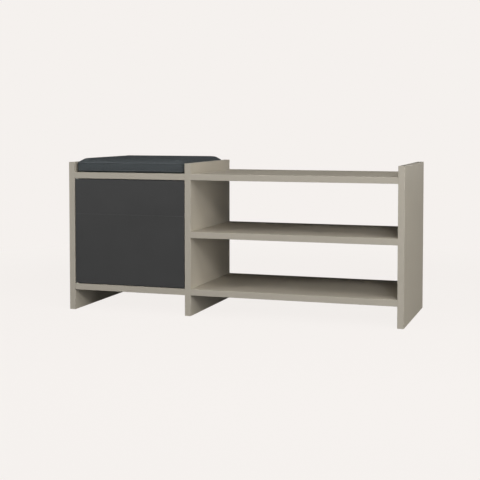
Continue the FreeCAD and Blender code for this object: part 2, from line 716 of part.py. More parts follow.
def latch_housing():
    """Plastic housing with a mounting flange and a stepped bore for the plunger."""
    body, block = slab("latch_housing", ("latch_width", "latch_length", "latch_height"),
                       ("(latch_flange_width - latch_width) / 2", "0"))
    flange = new_sketch(body, "XY_Plane", "latch_flange", "latch_height - latch_flange_thickness")
    draw_rectangle(flange, "0", "0", "latch_flange_width", "latch_length")
    pad(body, flange, "latch_flange_thickness")
    axis = [("latch_flange_width / 2", "latch_height - latch_axis_drop")]
    bore(body, "XZ_Plane", "latch_guide", axis, "plunger_radius + plunger_running", "latch_guide_length")
    bore(body, "XZ_Plane", "latch_chamber", axis, "collar_radius + plunger_running",
         "latch_length - latch_guide_length - latch_rear_wall", False, "-latch_guide_length")
    screws = [(f"(latch_flange_width {sign} latch_screw_spacing) / 2", "latch_length / 2") for sign in "-+"]
    bore(body, "XY_Plane", "latch_screw_holes", screws, "screw_radius + bore_clearance",
         "latch_height", True)
    doc.recompute()
    highest = body.Shape.BoundBox.ZMax
    rims = edges_where(body.Shape, lambda edge: is_latch_rim(edge, highest))
    countersink(body, rims, "latch_countersinks")
    place(body, f"board_thickness + {LATCH_X} - latch_flange_width / 2", LATCH_START,
          f"{TOP_LEVEL} - latch_height")


def is_latch_rim(edge, highest):
    """True for the lower rims of the flange's screw holes."""
    if edge.Curve.TypeId != "Part::GeomCircle" or len(edge.Vertexes) != 1:
        return False
    level = abs(edge.Curve.Axis.dot(Z_AXIS)) > PARALLEL
    return level and edge.Curve.Center.z < highest - TOLERANCE


def latch_plunger():
    """Plunger with a collar, a magnet pocket in its tip and a hollow rear end for the spring."""
    body = turned("latch_plunger", [
        ("magnet_radius + magnet_clearance", "0"),
        ("plunger_radius", "0"),
        ("plunger_radius", "collar_start"),
        ("collar_radius", "collar_start"),
        ("collar_radius", "collar_start + collar_length"),
        ("plunger_radius", "collar_start + collar_length"),
        ("plunger_radius", "plunger_length"),
        ("spring_well_radius", "plunger_length"),
        ("spring_well_radius", "plunger_length - spring_well_depth"),
        ("0", "plunger_length - spring_well_depth"),
        ("0", "magnet_length"),
        ("magnet_radius + magnet_clearance", "magnet_length"),
    ])
    body.Placement = turned_by(X_AXIS, -90)
    place(body, f"board_thickness + {LATCH_X}", PLUNGER_TIP, LATCH_LEVEL)


def latch_magnet():
    magnet = doc.addObject("Part::Cylinder", "latch_magnet")
    bind(magnet, "Radius", "magnet_radius")
    bind(magnet, "Height", "magnet_length")
    magnet.Placement = turned_by(X_AXIS, -90)
    place(magnet, f"board_thickness + {LATCH_X}", PLUNGER_TIP, LATCH_LEVEL)


def latch_spring():
    """Compression spring between the hollow plunger and the rear wall of the housing."""
    start = f"{PLUNGER_TIP} + plunger_length - spring_well_depth + spring_space"
    rear = f"{LATCH_START} + latch_length - latch_rear_wall"
    spine = doc.addObject("Part::Helix", "latch_spring_line")
    bind(spine, "Pitch", "spring_pitch")
    bind(spine, "Height", f"{rear} - ({start}) - 4 * spring_wire_radius")
    bind(spine, "Radius", "spring_coil_radius")
    wire = doc.addObject("Part::Circle", "latch_spring_wire")
    bind(wire, "Radius", "spring_wire_radius")
    wire.Placement = turned_by(X_AXIS, 90)
    bind(wire, "Placement.Base.x", "spring_coil_radius")
    coil = doc.addObject("Part::Sweep", "latch_spring")
    coil.Sections = [wire]
    coil.Spine = (spine, ["Edge1"])
    coil.Solid = True
    coil.Frenet = True
    coil.Placement = turned_by(X_AXIS, -90)
    place(coil, f"board_thickness + {LATCH_X}", f"{start} + 2 * spring_wire_radius", LATCH_LEVEL)


def strike_plate(pan):
    """Steel plate on the back of the door, with its two pan head screws."""
    body, block = slab("strike_plate", ("strike_width", "strike_thickness", "strike_height"))
    screws = [(f"(strike_width {sign} strike_screw_spacing) / 2", "strike_height / 2") for sign in "-+"]
    bore(body, "XZ_Plane", "strike_screw_holes", screws, "screw_radius + bore_clearance",
         "strike_thickness")
    place(body, f"board_thickness + {LATCH_X} - strike_width / 2", DOOR_BACK,
          f"{LATCH_LEVEL} - strike_height / 2")
    tip = f"{DOOR_BACK} + strike_thickness + pan_head_height - pan_screw_length"
    spots = [(f"board_thickness + {LATCH_X} {sign} strike_screw_spacing / 2", tip, LATCH_LEVEL,
              turned_by(X_AXIS, -90)) for sign in "-+"]
    copies("strike_screws", pan, spots)


def push_latch(screw, pan):
    """Sprung magnetic latch under the cabinet top and its strike plate on the door."""
    latch_housing()
    latch_plunger()
    latch_magnet()
    latch_spring()
    strike_plate(pan)
    level = f"{TOP_LEVEL} - latch_flange_thickness + screw_length"
    spots = [(f"board_thickness + {x}", y, level, turned_by(X_AXIS, 180)) for x, y in latch_screw_spots()]
    copies("latch_screws", screw, spots)


# ---------------------------------------------------------------- cushion

def rounded_block(name, inset):
    """The cushion's form, made smaller by `inset` on every side."""
    width = f"{CUSHION_WIDTH} - 2 * ({inset})"
    depth = f"{CUSHION_DEPTH} - 2 * ({inset})"
    body, block = slab(name, (width, depth, f"cushion_height - cushion_lift - 2 * ({inset})"))
    doc.recompute()
    corners = edges_where(block.Shape, lambda edge: runs_along(edge, Z_AXIS))
    turned_corners = round_edges(body, block, corners, f"cushion_corner - ({inset})", f"{name}_corners")
    doc.recompute()
    rims = edges_where(turned_corners.Shape, lambda edge: not runs_along(edge, Z_AXIS))
    round_edges(body, turned_corners, rims, f"cushion_edge - ({inset})", f"{name}_edges")
    place(body, f"board_thickness + cushion_side_gap + {inset}", f"cushion_front_gap + {inset}",
          f"{TOP_LEVEL} + board_thickness + cushion_lift + {inset}")
    return body


def seat_cushion():
    """A fabric cover, made as a closed shell, and the foam core inside it."""
    cover = doc.addObject("Part::Cut", "cushion_cover")
    cover.Base = rounded_block("cushion_outside", "0")
    cover.Tool = rounded_block("cushion_lining", "cover_thickness")
    rounded_block("cushion_foam", "(cover_thickness + foam_clearance)")


# ---------------------------------------------------------------- assembly

UPRIGHTS = [("left_upright", "0"), ("centre_upright", CENTRE_START), ("right_upright", RIGHT_START)]
SHELVES = [
    ("cabinet_top", CABINET_BOARDS[0]),
    ("cabinet_floor", CABINET_BOARDS[1]),
    ("open_top_shelf", OPEN_BOARDS[0]),
    ("open_middle_shelf", OPEN_BOARDS[1]),
    ("open_bottom_shelf", OPEN_BOARDS[2]),
]


def carcass():
    """Uprights, horizontal boards, their edge bands and the cabinet back."""
    bodies = {name: upright(name, start) for name, start in UPRIGHTS}
    for side, name in (("right", "left_upright"), ("left", "centre_upright")):
        drill_upright(bodies[name], side, CABINET_BOARDS, "cabinet_bolt_inset", "cabinet_dowel_inset")
        groove_upright(bodies[name], side)
    for side, name in (("right", "centre_upright"), ("left", "right_upright")):
        drill_upright(bodies[name], side, OPEN_BOARDS, "shelf_bolt_inset", "shelf_dowel_inset")
    for name, (start, length, level) in SHELVES:
        kind = "cabinet" if name.startswith("cabinet") else "shelf"
        body = horizontal_board(name, start, length, level, f"{kind}_bolt_inset", f"{kind}_dowel_inset")
        bodies[name] = body
        board_edging(f"{name}_edging", start, length, level)
    for name, start in UPRIGHTS:
        upright_edging(f"{name}_edging", start)
    for name, on_top in (("cabinet_top", False), ("cabinet_floor", True)):
        groove_board(bodies[name], on_top)
        let_in_pivot_plate(bodies[name], on_top)
    bore_for_latch(bodies["cabinet_top"])
    cabinet_back()


def cabinet_back():
    """Hardboard panel held in the grooves of the cabinet."""
    overlap = "(groove_depth - back_play)"
    body, block = slab("cabinet_back", (f"cabinet_width + 2 * {overlap}", "back_thickness",
                                        f"{CLEAR_HEIGHT} + 2 * {overlap}"))
    place(body, f"board_thickness - {overlap}", f"{GROOVE_START} + (groove_width - back_thickness) / 2",
          f"foot_height + board_thickness - {overlap}")


PARTS = [name for name, start in UPRIGHTS]
PARTS += [name for name, board in SHELVES]
PARTS += [f"{name}_edging" for name in PARTS]
PARTS += ["cabinet_back", "door_panel", "door_edging"]
PARTS += [f"{side}_pivot_{piece}" for side in ("lower", "upper") for piece in ("plate", "pin", "bush")]
PARTS += ["pivot_plate_screws", "latch_housing", "latch_plunger", "latch_magnet", "latch_spring"]
PARTS += ["latch_screws", "strike_plate", "strike_screws"]
PARTS += [f"{piece}_{bay}" for piece in ("cam_locks", "cam_bolts", "dowels") for bay in ("cabinet", "bay")]
PARTS += ["cushion_cover", "cushion_foam"]


def check_document():
    """Stop if any object failed, a pocket cut nothing, or a sub-part has no sound shape."""
    for item in doc.Objects:
        if "Invalid" in item.State or "Error" in item.State:
            raise RuntimeError(f"{item.Label} failed: {item.State}")
        if item.TypeId == "PartDesign::Pocket":
            removed = item.BaseFeature.Shape.Volume - item.Shape.Volume
            if removed < SMALLEST_CUT:
                raise RuntimeError(f"{item.Label} cuts nothing")
    for name in PARTS:
        shape = doc.getObject(name).Shape
        if shape.isNull() or not shape.isValid() or not shape.Solids:
            raise RuntimeError(f"{name} has no sound solid")


def write_parts():
    os.makedirs("parts", exist_ok=True)
    for name in PARTS:
        doc.getObject(name).Shape.exportStep(f"parts/{name}.step")


fill_sheet()
carcass()
lock = cam_lock()
bolt = cam_bolt()
peg = dowel()
fasten("cabinet", CABINET_BOARDS, "cabinet_bolt_inset", "cabinet_dowel_inset", lock, bolt, peg)
fasten("bay", OPEN_BOARDS, "shelf_bolt_inset", "shelf_dowel_inset", lock, bolt, peg)
small_screw = wood_screw()
door_panel()
door_edging()
door_pivots(small_screw)
push_latch(small_screw, pan_screw())
seat_cushion()
doc.recompute()
check_document()
write_parts()
print(len(PARTS), "sub-parts written")
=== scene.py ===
"""Entryway bench: finishes, seat cushion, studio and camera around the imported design.

Laid out as an add-on: settings, one operator for each group of pieces, a panel and register().
Lengths are in metres unless a name ends in _mm.
"""

import math

import bmesh
import bpy
import numpy as np
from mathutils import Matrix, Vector
from mathutils.kdtree import KDTree


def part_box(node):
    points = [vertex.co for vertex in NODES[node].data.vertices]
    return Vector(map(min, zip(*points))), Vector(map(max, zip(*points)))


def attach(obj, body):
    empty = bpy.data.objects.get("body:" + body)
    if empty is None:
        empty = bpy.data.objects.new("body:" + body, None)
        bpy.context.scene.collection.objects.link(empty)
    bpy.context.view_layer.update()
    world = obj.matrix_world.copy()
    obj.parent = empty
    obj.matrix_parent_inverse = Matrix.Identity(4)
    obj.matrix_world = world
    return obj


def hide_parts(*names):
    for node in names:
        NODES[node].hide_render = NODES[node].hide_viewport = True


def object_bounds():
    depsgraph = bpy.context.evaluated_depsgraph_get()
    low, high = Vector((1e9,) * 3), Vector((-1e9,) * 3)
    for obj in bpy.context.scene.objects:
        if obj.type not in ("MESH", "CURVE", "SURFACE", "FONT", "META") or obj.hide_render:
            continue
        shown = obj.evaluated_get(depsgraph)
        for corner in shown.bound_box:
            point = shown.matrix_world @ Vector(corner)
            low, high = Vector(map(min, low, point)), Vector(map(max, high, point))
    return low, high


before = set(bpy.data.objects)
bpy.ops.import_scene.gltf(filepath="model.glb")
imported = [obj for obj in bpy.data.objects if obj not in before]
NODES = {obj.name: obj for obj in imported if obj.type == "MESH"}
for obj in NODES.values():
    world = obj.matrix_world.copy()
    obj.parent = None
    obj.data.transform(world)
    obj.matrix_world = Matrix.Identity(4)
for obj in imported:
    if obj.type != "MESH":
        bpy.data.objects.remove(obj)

bl_info = {
    "name": "Entryway Bench",
    "version": (1, 0, 0),
    "blender": (4, 5, 0),
    "location": "View3D > Sidebar > Bench",
    "description": "Finishes, seat cushion and studio for an entryway bench",
    "category": "Object",
}

CAD_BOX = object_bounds()
COVER_LOW, COVER_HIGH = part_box("cushion_cover")
MM = 0.001
TINY = 1e-9  # keeps a division clear of zero
SAME_LEVEL = 0.1 * MM  # heights closer than this count as one level
LOOKS_UP = 0.99  # least Z of the normal of a face that counts as level
MIX_A, MIX_B, MIX_RESULT = 6, 7, 2  # colour sockets of a mix node
NOISE_SPAN = {"From Min": 0.3, "From Max": 0.7}  # most values of a noise texture lie in it
BOARD_ROUGHNESS = 0.5
BAND_ROUGHNESS = 0.44
BOARD_SPECULAR = 0.25  # the boards and bands are satin, with a weak reflection
SCORE_PALER = 1.5  # how much paler than the door face the score line is painted
# area lights: name, watts, place and diameter
LIGHTS = (
    ("front_light", 55, (1.6, -3.4, 2.0), 0.8),
    ("left_light", 45, (-2.8, -2.4, 1.4), 1.4),
    ("high_light", 35, (2.2, -1.8, 2.6), 1.2),
    ("low_side_light", 35, (3.4, -1.2, 0.4), 1.0),
    ("low_corner_light", 5, (1.5, -2.2, 0.35), 0.6),
    ("low_rear_side_light", 5, (2.6, 0.4, 0.4), 0.8),
    ("top_light", 20, (0.2, -0.6, 3.0), 1.8),
)
REAR_LIGHT_PLACE = Vector((0, 2, 0.3))
LEFT_SIDE_LIGHT_PLACE = Vector((-2, 0, 0.3))
LEVEL_LIGHT_ANGLE = math.radians(1)
SENSOR_WIDTH_MM = 36
FLOOR_SIZE = 40
FLOOR_LIGHT = 0.8  # brightness of the lit floor beside the bench, as a share of the backdrop's
SCORE_WIDTH = 0.8 * MM  # score line across the door, a third of the way down
RIM_LIFT = 0.5 * MM  # how far the sewn upper rim of the cushion can rise
CORNER_SEGMENTS = 8
RIM_SEGMENTS = 3
SEAM_CUTS = 40  # points along each straight stretch of a seam
SEAM_ROUNDNESS = 2  # resolution of the round section of a seam
SHADOW_FADE = (0.9, 1.8)  # distances from the middle of the floor where shadows fade out


def linear(hex_colour):
    """Linear RGBA from an sRGB hex value such as 'A69F92'."""
    channels = [int(hex_colour[place:place + 2], 16) / 255 for place in (0, 2, 4)]
    bent = [c / 12.92 if c <= 0.04045 else ((c + 0.055) / 1.055) ** 2.4 for c in channels]
    return (*bent, 1.0)


def colour_property(name, description, hex_colour):
    return bpy.props.FloatVectorProperty(
        name=name, description=description, subtype="COLOR", size=4, min=0, max=1,
        default=linear(hex_colour))


def length_property(name, description, metres):
    return bpy.props.FloatProperty(
        name=name, description=description, default=metres, min=0,
        subtype="DISTANCE", unit="LENGTH")


class BenchFinishes(bpy.types.PropertyGroup):
    """Colours of the bench."""

    board: colour_property("Boards", "Taupe decor paper of the melamine boards", "B5AD9E")
    edging: colour_property("Edge bands", "Taupe edge bands of the boards", "B5AEA1")
    door: colour_property("Door", "Anthracite decor paper of the door", "444444")
    chipboard: colour_property("Chipboard", "Raw chipboard where no band covers it", "B99B72")
    hardboard: colour_property("Hardboard", "Unprinted rear side of the cabinet back", "8A6B4C")
    fabric: colour_property("Cushion fabric", "Lighter yarn of the cushion cover", "565A5C")
    fabric_shade: colour_property("Cushion shade", "Darker yarn of the cushion cover", "404547")


class BenchCushion(bpy.types.PropertyGroup):
    """Sizes of the seat cushion."""

    edge_height: length_property("Edge height", "Height of the boxed sides", 0.03)
    slope_width: length_property("Slope width", "Width of the slope inside the edge", 0.03)
    slope_rise: length_property("Slope rise", "Height of that slope before filling", 0.006)
    crown: length_property("Crown", "How far the pressure may lift the top", 0.006)
    side_bulge: length_property("Side bulge", "How far the sides may be pushed out", 0.0008)
    corner_radius: length_property("Corner radius", "Rounding of the corners in plan", 0.009)
    side_shift: length_property("Side shift", "How far right of the middle the pad lies", 0.001)
    rim_radius: length_property("Upper rim radius", "Rounding of the upper rim", 0.003)
    base_radius: length_property("Lower rim radius", "Rounding of the lower rim", 0.0055)
    voxel: length_property("Voxel", "Cell size of the remesh before the cloth simulation", 0.005)
    seam_radius: length_property("Seam radius", "Half the thickness of the sewn edge", 0.0014)
    seam_depth: length_property("Seam depth", "How far the sewn edge draws the cover in", 0.0012)
    seam_reach: length_property("Seam reach", "How far from the seam the cover is drawn in", 0.006)
    pressure: bpy.props.FloatProperty(
        name="Pressure", description="Cloth pressure that fills the pad", default=4.0, min=0)
    frames: bpy.props.IntProperty(
        name="Frames", description="Number of frames of cloth simulation", default=20, min=2)


class BenchStudio(bpy.types.PropertyGroup):
    """Camera, lights and floor."""

    camera_place: bpy.props.FloatVectorProperty(
        name="Camera place", description="Position of the camera",
        subtype="TRANSLATION", unit="LENGTH", default=(0.9473, -2.9555, 0.5492))
    camera_turn: bpy.props.FloatProperty(
        name="Camera turn", description="How far the camera looks to the left of straight on",
        subtype="ANGLE", default=math.radians(18.13))
    camera_tilt: bpy.props.FloatProperty(
        name="Camera tilt", description="How far the camera looks down", subtype="ANGLE",
        default=math.radians(2.83))
    lens: bpy.props.FloatProperty(
        name="Lens", description="Focal length in millimetres", default=78.03, min=1)
    shift: bpy.props.FloatVectorProperty(
        name="Shift", description="Sideways and upward shift of the lens", size=2,
        default=(-0.001, -0.1319))
    backdrop: colour_property("Backdrop", "Pale floor and surroundings as they appear", "F5F1EE")
    light_level: bpy.props.FloatProperty(
        name="Light level", description="Multiplies the power of every area light",
        default=1.0, min=0)
    rear_strength: bpy.props.FloatProperty(
        name="Rear light", description="Strength of the level light from behind",
        default=1.6, min=0)
    left_strength: bpy.props.FloatProperty(
        name="Left light", description="Strength of the level light from the left",
        default=0.8, min=0)
    shadow: bpy.props.FloatProperty(
        name="Shadow", description="Share of the floor's brightness that shadows can take away",
        default=0.05, min=0, max=1)
    ambient: bpy.props.FloatProperty(
        name="Ambient", description="Strength of the light from all round", default=0.03, min=0)


# ---------------------------------------------------------------- helpers

def deselect_all():
    if bpy.context.object and bpy.context.object.mode != "OBJECT":
        bpy.ops.object.mode_set(mode="OBJECT")
    bpy.ops.object.select_all(action="DESELECT")


def make_active(piece):
    deselect_all()
    piece.select_set(True)
    bpy.context.view_layer.objects.active = piece


def new_piece(name):
    """Name the primitive just added and put its place into its mesh."""
    piece = bpy.context.object
    piece.name = name
    piece.data.name = name
    bpy.ops.object.transform_apply(location=True, rotation=True, scale=True)
    return piece


def apply_modifier(piece, kind, **settings):
    """Add a modifier with its settings and apply it."""
    make_active(piece)
    bpy.ops.object.modifier_add(type=kind)
    modifier = piece.modifiers[-1]
    for name, value in settings.items():
        setattr(modifier, name, value)
    bpy.ops.object.modifier_apply(modifier=modifier.name)


def select_edges(piece, wanted):
    """Enter edit mode and select the edges whose two end points wanted() accepts."""
    make_active(piece)
    bpy.ops.object.mode_set(mode="EDIT")
    bpy.ops.mesh.select_mode(type="EDGE")
    bpy.ops.mesh.select_all(action="DESELECT")
    shape = bmesh.from_edit_mesh(piece.data)
    for edge in shape.edges:
        edge.select = wanted(edge.verts[0].co, edge.verts[1].co)
    shape.select_flush_mode()
    bmesh.update_edit_mesh(piece.data)


def select_top_face(piece):
    """Enter edit mode with only the highest level face selected."""
    make_active(piece)
    bpy.ops.object.mode_set(mode="EDIT")
    bpy.ops.mesh.select_mode(type="FACE")
    bpy.ops.mesh.select_all(action="DESELECT")
    shape = bmesh.from_edit_mesh(piece.data)
    level = [face for face in shape.faces if face.normal.z > LOOKS_UP]
    max(level, key=lambda face: face.calc_center_median().z).select = True
    bmesh.update_edit_mesh(piece.data)


def read_points(piece):
    points = np.empty(len(piece.data.vertices) * 3)
    piece.data.vertices.foreach_get("co", points)
    return points.reshape(-1, 3)


def write_points(piece, points):
    piece.data.vertices.foreach_set("co", points.ravel())
    piece.data.update()


def finish_piece(piece, body, material):
    """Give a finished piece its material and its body."""
    piece.data.materials.clear()
    piece.data.materials.append(material)
    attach(piece, body)


def paint(names, material):
    for name in names:
        for place in NODES[name].material_slots:
            place.material = material


# ---------------------------------------------------------------- materials

def add_node(tree, kind, inputs=None, **settings):
    """Add a shader node. Inputs, by socket name or number, are constants or other outputs."""
    node = tree.nodes.new("ShaderNode" + kind)
    for name, value in settings.items():
        setattr(node, name, value)
    for socket, value in (inputs or {}).items():
        if isinstance(value, bpy.types.NodeSocket):
            tree.links.new(value, node.inputs[socket])
        else:
            node.inputs[socket].default_value = value
    return node


def new_material(name):
    """An empty node material, its tree and its object coordinates."""
    material = bpy.data.materials.new(name)
    material.use_nodes = True
    tree = material.node_tree
    tree.nodes.clear()
    place = add_node(tree, "TexCoord").outputs["Object"]
    return material, tree, place


def scaled(colour, factor):
    return (colour[0] * factor, colour[1] * factor, colour[2] * factor, 1.0)


def wave_scale(period):
    """Scale of a wave texture whose ridges lie one period apart."""
    return math.pi / (10 * period)


def close_material(tree, height, bump_mm, inputs):
    """End a material with a bump and one principled shader."""
    bump = add_node(tree, "Bump", {"Height": height, "Distance": bump_mm * MM, "Strength": 1.0})
    shader = add_node(tree, "BsdfPrincipled", {"Normal": bump.outputs["Normal"], **inputs})
    add_node(tree, "OutputMaterial", {"Surface": shader.outputs["BSDF"]})


def melamine(name, colour, roughness, chipboard, score=None):
    """Melamine-faced chipboard.

    Decor paper pressed under resin against a pearl-embossed plate: an even, satin surface with
    a fine pearl grain, faintly cloudy in colour and gloss. Raw chipboard shows under the feet,
    and a band along a score line in the face is painted paler than the face. score holds a depth
    (Y) just behind the floor of that line, and the line's height (Z).
    """
    material, tree, place = new_material(name)
    pearl = add_node(tree, "TexNoise", {"Vector": place, "Scale": 1 / (1.2 * MM), "Detail": 2.0})
    cloud = add_node(tree, "TexNoise", {"Vector": place, "Scale": 1 / (70 * MM), "Detail": 3.0})
    tint = add_node(tree, "MapRange", {"Value": cloud.outputs["Fac"], **NOISE_SPAN})
    paper = add_node(
        tree, "Mix",
        {"Factor": tint.outputs["Result"],
         MIX_A: scaled(colour, 0.97), MIX_B: scaled(colour, 1.03)},
        data_type="RGBA")
    chips = add_node(tree, "TexVoronoi", {"Vector": place, "Scale": 1 / (2.5 * MM)})
    wood = add_node(
        tree, "Mix",
        {"Factor": chips.outputs["Distance"], MIX_A: scaled(chipboard, 0.7), MIX_B: chipboard},
        data_type="RGBA")
    position = add_node(tree, "SeparateXYZ", {"Vector": place})
    foot = add_node(
        tree, "Math", {0: position.outputs["Z"], 1: SAME_LEVEL}, operation="LESS_THAN")
    surface = add_node(
        tree, "Mix",
        {"Factor": foot.outputs["Value"],
         MIX_A: paper.outputs[MIX_RESULT], MIX_B: wood.outputs[MIX_RESULT]},
        data_type="RGBA")
    # the band along the score line is painted paler than the rest of the face
    if score:
        depth, level = score
        reach = 0.55 * SCORE_WIDTH  # up and down, a little past both edges of the line
        at_line = add_node(
            tree, "Math", {0: position.outputs["Z"], 1: level, 2: reach}, operation="COMPARE")
        in_face = add_node(
            tree, "Math", {0: position.outputs["Y"], 1: depth}, operation="LESS_THAN")
        cut = add_node(
            tree, "Math", {0: at_line.outputs["Value"], 1: in_face.outputs["Value"]},
            operation="MULTIPLY")
        surface = add_node(
            tree, "Mix",
            {"Factor": cut.outputs["Value"],
             MIX_A: surface.outputs[MIX_RESULT], MIX_B: scaled(colour, SCORE_PALER)},
            data_type="RGBA")
    gloss = add_node(
        tree, "MapRange",
        {"Value": cloud.outputs["Fac"], **NOISE_SPAN,
         "To Min": roughness - 0.04, "To Max": roughness + 0.04})
    close_material(tree, pearl.outputs["Fac"], bump_mm=0.02, inputs={
        "Base Color": surface.outputs[MIX_RESULT],
        "Roughness": gloss.outputs["Result"],
        "Specular IOR Level": BOARD_SPECULAR,
    })
    return material


def edge_band(name, colour, roughness):
    """Extruded ABS edging: the board's colour, a little smoother, with faint drawn waviness."""
    material, tree, place = new_material(name)
    waviness = add_node(tree, "TexNoise", {"Vector": place, "Scale": 1 / (9 * MM), "Detail": 1.0})
    pearl = add_node(tree, "TexNoise", {"Vector": place, "Scale": 1 / (0.8 * MM), "Detail": 1.0})
    tint = add_node(
        tree, "Mix",
        {"Factor": waviness.outputs["Fac"],
         MIX_A: scaled(colour, 0.985), MIX_B: scaled(colour, 1.015)},
        data_type="RGBA")
    gloss = add_node(
        tree, "MapRange",
        {"Value": waviness.outputs["Fac"], **NOISE_SPAN,
         "To Min": roughness - 0.03, "To Max": roughness + 0.03})
    close_material(tree, pearl.outputs["Fac"], bump_mm=0.012, inputs={
        "Base Color": tint.outputs[MIX_RESULT],
        "Roughness": gloss.outputs["Result"],
        "Specular IOR Level": BOARD_SPECULAR,
    })
    return material


def hardboard_back(name, printed, raw):
    """Hardboard: printed like the boards in front, brown fibre with a mesh press mark behind."""
    material, tree, place = new_material(name)
    low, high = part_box("cabinet_back")
    position = add_node(tree, "SeparateXYZ", {"Vector": place})
    behind = add_node(
        tree, "Math", {0: position.outputs["Y"], 1: (low.y + high.y) / 2},
        operation="GREATER_THAN")
    fibre = add_node(tree, "TexNoise", {"Vector": place, "Scale": 1 / (4 * MM), "Detail": 6.0})
    brown = add_node(
        tree, "Mix",
        {"Factor": fibre.outputs["Fac"], MIX_A: scaled(raw, 0.75), MIX_B: scaled(raw, 1.25)},
        data_type="RGBA")
    surface = add_node(
        tree, "Mix",
        {"Factor": behind.outputs["Value"], MIX_A: printed, MIX_B: brown.outputs[MIX_RESULT]},
        data_type="RGBA")
    # the press mesh has a wire every 1.6 mm; drawn every 3 mm so that it shows
    across, upward = [
        add_node(
            tree, "TexWave", {"Vector": place, "Scale": wave_scale(3 * MM)},
            bands_direction=direction).outputs["Fac"]
        for direction in "XZ"
    ]
    crossing = add_node(tree, "Math", {0: across, 1: upward}, operation="MULTIPLY")
    relief = add_node(
        tree, "Math", {0: crossing.outputs["Value"], 1: behind.outputs["Value"]},
        operation="MULTIPLY")
    gloss = add_node(
        tree, "MapRange", {"Value": behind.outputs["Value"], "To Min": 0.45, "To Max": 0.75})
    close_material(tree, relief.outputs["Value"], bump_mm=0.15, inputs={
        "Base Color": surface.outputs[MIX_RESULT],
        "Roughness": gloss.outputs["Result"],
    })
    return material


def plated_metal(name, colour, roughness, grain_mm, bump_mm):
    """Small metal parts: thin plating over a drawn, pressed or cast surface, uneven in gloss."""
    material, tree, place = new_material(name)
    grain = add_node(
        tree, "TexNoise", {"Vector": place, "Scale": 1 / (grain_mm * MM), "Detail": 3.0})
    tint = add_node(
        tree, "Mix",
        {"Factor": grain.outputs["Fac"], MIX_A: scaled(colour, 0.85), MIX_B: scaled(colour, 1.1)},
        data_type="RGBA")
    gloss = add_node(
        tree, "MapRange",
        {"Value": grain.outputs["Fac"], **NOISE_SPAN,
         "To Min": roughness - 0.08, "To Max": roughness + 0.08})
    close_material(tree, grain.outputs["Fac"], bump_mm=bump_mm, inputs={
        "Base Color": tint.outputs[MIX_RESULT],
        "Roughness": gloss.outputs["Result"],
        "Metallic": 1.0,
    })
    return material


def moulded_plastic(name, colour, roughness, grain_mm, subsurface):
    """Injection-moulded plastic with a fine spark-eroded grain and a soft sheen."""
    material, tree, place = new_material(name)
    grain = add_node(
        tree, "TexNoise", {"Vector": place, "Scale": 1 / (grain_mm * MM), "Detail": 2.0})
    tint = add_node(
        tree, "Mix",
        {"Factor": grain.outputs["Fac"], MIX_A: scaled(colour, 0.96), MIX_B: scaled(colour, 1.04)},
        data_type="RGBA")
    gloss = add_node(
        tree, "MapRange",
        {"Value": grain.outputs["Fac"], "To Min": roughness - 0.05, "To Max": roughness + 0.05})
    close_material(tree, grain.outputs["Fac"], bump_mm=0.01, inputs={
        "Base Color": tint.outputs[MIX_RESULT],
        "Roughness": gloss.outputs["Result"],
        "Subsurface Weight": subsurface,
        "Subsurface Scale": 1.5 * MM,
    })
    return material


def beech(name, colour):
    """Turned beech dowel: pale, with short darker flecks along the grain, which runs along X."""
    material, tree, place = new_material(name)
    grain_along = add_node(tree, "Mapping", {"Vector": place, "Scale": (0.12, 1.0, 1.0)})
    fleck = add_node(
        tree, "TexNoise",
        {"Vector": grain_along.outputs["Vector"], "Scale": 1 / (0.9 * MM), "Detail": 4.0})
    tint = add_node(
        tree, "Mix",
        {"Factor": fleck.outputs["Fac"], MIX_A: scaled(colour, 0.7), MIX_B: scaled(colour, 1.15)},
        data_type="RGBA")
    close_material(tree, fleck.outputs["Fac"], bump_mm=0.03, inputs={
        "Base Color": tint.outputs[MIX_RESULT],
        "Roughness": 0.6,
    })
    return material


def upholstery(name, light, dark, thread_mm, bump_mm):
    """Plain-woven melange polyester: light and dark yarns mixed thread by thread, matt.

    Threads lie 0.8 mm apart; they are drawn thread_mm apart so that the weave shows. Painted
    shade: where the cloth is seen along the surface, its colour is darkened by up to a fifth.
    """
    material, tree, place = new_material(name)
    scale = wave_scale(thread_mm * MM)
    ridges = [
        add_node(
            tree, "TexWave",
            {"Vector": place, "Scale": scale, "Distortion": 0.6, "Detail": 1.0},
            bands_direction=direction).outputs["Fac"]
        for direction in "XYZ"
    ]
    woven = add_node(tree, "Math", {0: ridges[0], 1: ridges[1]}, operation="ADD")
    woven = add_node(tree, "Math", {0: woven.outputs["Value"], 1: ridges[2]}, operation="ADD")
    weave = add_node(tree, "Math", {0: woven.outputs["Value"], 1: 1 / 3}, operation="MULTIPLY")
    yarn = add_node(
        tree, "TexNoise", {"Vector": place, "Scale": 1 / (thread_mm * MM), "Detail": 4.0})
    melange = add_node(
        tree, "MapRange", {"Value": yarn.outputs["Fac"], "From Min": 0.35, "From Max": 0.65})
    tint = add_node(
        tree, "Mix", {"Factor": melange.outputs["Result"], MIX_A: dark, MIX_B: light},
        data_type="RGBA")
    # painted shade: the colour is up to a fifth darker where the cloth is seen at a grazing angle
    view = add_node(tree, "LayerWeight", {"Blend": 0.5})
    grazing_painted_shade = add_node(
        tree, "MapRange",
        {"Value": view.outputs["Facing"], "From Min": 0.25, "From Max": 0.65, "To Max": 0.2})
    painted_shade_colour = add_node(
        tree, "Mix",
        {"Factor": grazing_painted_shade.outputs["Result"],
         MIX_A: tint.outputs[MIX_RESULT], MIX_B: (0, 0, 0, 1)},
        data_type="RGBA")
    close_material(tree, weave.outputs["Value"], bump_mm=bump_mm, inputs={
        "Base Color": painted_shade_colour.outputs[MIX_RESULT],
        "Roughness": 0.9,
        "Specular IOR Level": 0.04,
        "Sheen Weight": 0.015,
        "Sheen Roughness": 0.5,
    })
    return material


# ---------------------------------------------------------------- operators

